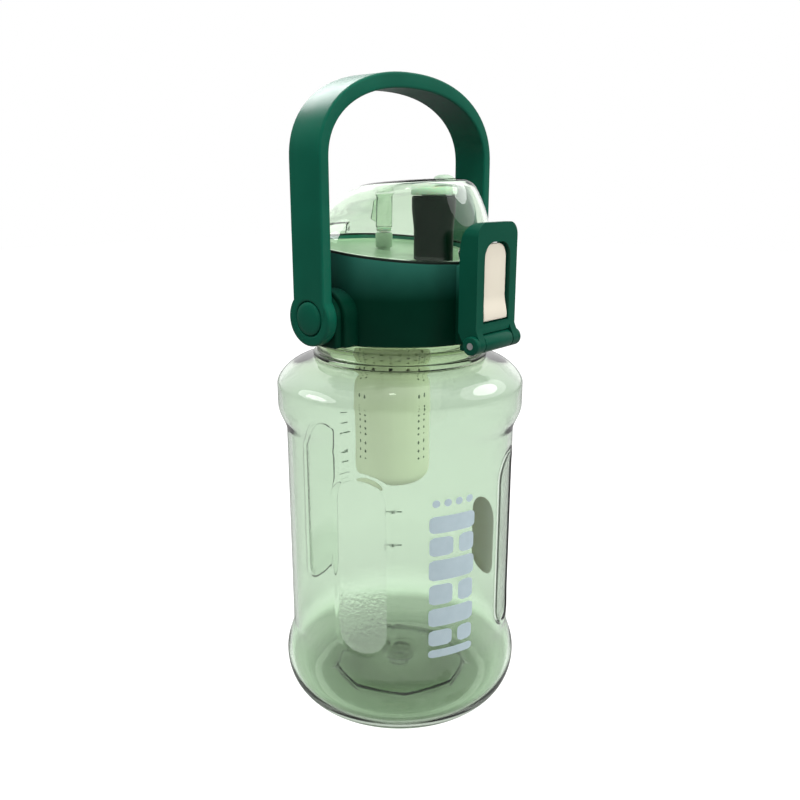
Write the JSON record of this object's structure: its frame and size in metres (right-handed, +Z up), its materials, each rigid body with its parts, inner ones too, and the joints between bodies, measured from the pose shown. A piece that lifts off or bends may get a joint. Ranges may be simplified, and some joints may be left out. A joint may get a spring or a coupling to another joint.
{
  "type": "large water jug",
  "caption": "Large clear water jug with a screw lid, flip-up clear cover, drinking spout, front lock with push button, swinging carry handle and hanging strainer.",
  "frame": {"origin": "centre of the foot, on the ground", "axes": "+Z up, -Y towards the lock, the handle's pivots on the -X and +X sides"},
  "size_m": [0.121, 0.118, 0.2986],
  "materials": {
    "clear_body": "clear, tinted, glossy",
    "clear_cover": "clear, tinted, glossy",
    "green_plastic": "satin",
    "cream_plastic": "satin",
    "beige_plastic": "satin",
    "clear_plastic": "clear",
    "soft_seal": "translucent silicone",
    "dark_seal": "matt",
    "steel": "brushed"
  },
  "bodies": {
    "bottle": {"bottle_body": "clear_body", "bottle_shoulder": "clear_body", "bottle_neck": "clear_body", "bottle_finish": "clear_body"},
    "seal": {"rim_seal": "soft_seal"},
    "lid": {"lid_shell": "green_plastic", "lid_insert": "green_plastic", "drinking_spout": "green_plastic", "vent_stub": "green_plastic", "cover_seal": "dark_seal", "cover_hinge_pin": "steel", "cover_spring": "steel", "button_spring": "steel", "lock_hinge_pin": "steel", "left_pivot_screw": "steel", "right_pivot_screw": "steel", "strainer_holder": "clear_plastic"},
    "cover": {"flip_cover": "clear_cover", "spout_stopper": "soft_seal", "vent_stopper": "soft_seal"},
    "lock": {"lock_frame": "green_plastic"},
    "button": {"release_button": "cream_plastic"},
    "handle": {"carry_handle": "green_plastic", "left_pivot_cap": "green_plastic", "right_pivot_cap": "green_plastic"},
    "strainer": {"strainer_basket": "beige_plastic"}
  },
  "joints": [
    {"name": "lid_lift", "type": "slide", "parent": "bottle", "child": "seal", "axis": [0, 0, 1], "range_m": [0, 0.009]},
    {"name": "lid_turn", "type": "hinge", "parent": "seal", "child": "lid", "pos_m": [0, 0, 0.2], "axis": [0, 0, 1], "range_deg": [0, 540]},
    {"name": "cover_hinge", "type": "hinge", "parent": "lid", "child": "cover", "pos_m": [0, 0.049, 0.2019], "axis": [-1, 0, 0], "range_deg": [0, 105]},
    {"name": "lock_hinge", "type": "hinge", "parent": "lid", "child": "lock", "pos_m": [0, -0.0528, 0.1858], "axis": [1, 0, 0], "range_deg": [0, 150]},
    {"name": "button_press", "type": "slide", "parent": "lid", "child": "button", "axis": [0, 1, 0], "range_m": [0, 0.0025], "stiffness_N_per_m": 300, "springref_m": -0.002, "deforming": ["button_spring"]},
    {"name": "handle_swing", "type": "hinge", "parent": "lid", "child": "handle", "pos_m": [0, 0, 0.1973], "axis": [1, 0, 0], "range_deg": [-95, 95]},
    {"name": "strainer_twist", "type": "hinge", "parent": "lid", "child": "strainer", "pos_m": [0, 0.005, 0.2], "axis": [0, 0, 1], "range_deg": [0, 45]}
  ],
  "couplings": [
    {"joint": "lid_lift", "follows": "lid_turn", "m_per_rad": 0.0009549}
  ]
}
